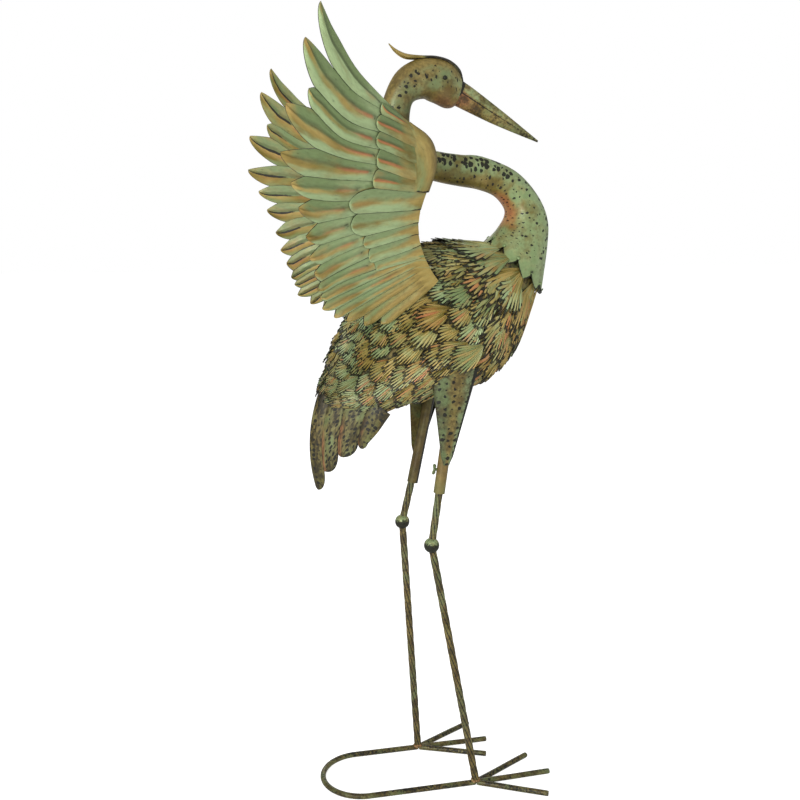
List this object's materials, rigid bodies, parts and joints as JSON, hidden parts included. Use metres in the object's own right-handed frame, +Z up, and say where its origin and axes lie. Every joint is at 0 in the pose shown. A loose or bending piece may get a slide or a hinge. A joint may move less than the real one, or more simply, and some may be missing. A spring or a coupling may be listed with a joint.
{
  "type": "metal heron garden statue",
  "caption": "Tall wading bird in painted sheet metal, wings raised, standing on two rod legs that end in a round-bar floor loop with toes.",
  "frame": {"origin": "on the floor, midway between the foremost and rearmost points and midway between the two wings", "axes": "+X the way the bird faces, +Y towards its left wing, +Z up"},
  "size_m": [0.3916, 0.4884, 1.02],
  "materials": {
    "verdigris_sheet": "satin, brushed green, tan and salmon paint over dark, worn along the ribs",
    "olive_sheet": "satin, olive and gold brushed over dark",
    "tufted_sheet": "satin, tan, mint and salmon on the ridges, black between them",
    "bar": "satin, mottled olive over black",
    "dark_fitting": "satin black with brushed mint on top"
  },
  "bodies": {
    "root": {"body": "tufted_sheet", "neck_and_head": "verdigris_sheet", "beak": "olive_sheet", "crest": "olive_sheet", "wing_left": "verdigris_sheet", "wing_right": "verdigris_sheet", "tail": "olive_sheet", "thigh_left": "verdigris_sheet", "thigh_right": "verdigris_sheet", "leg_tube_left": "bar", "leg_tube_right": "bar", "leg_rod_upper_left": "bar", "leg_rod_upper_right": "bar", "leg_rod_lower_left": "bar", "leg_rod_lower_right": "bar", "knee_ball_left": "dark_fitting", "knee_ball_right": "dark_fitting", "thumb_screw_left": "dark_fitting", "thumb_screw_right": "dark_fitting", "floor_loop": "bar", "toe_inner_left": "bar", "toe_middle_left": "bar", "toe_outer_left": "bar", "toe_inner_right": "bar", "toe_middle_right": "bar", "toe_outer_right": "bar"}
  },
  "joints": []
}
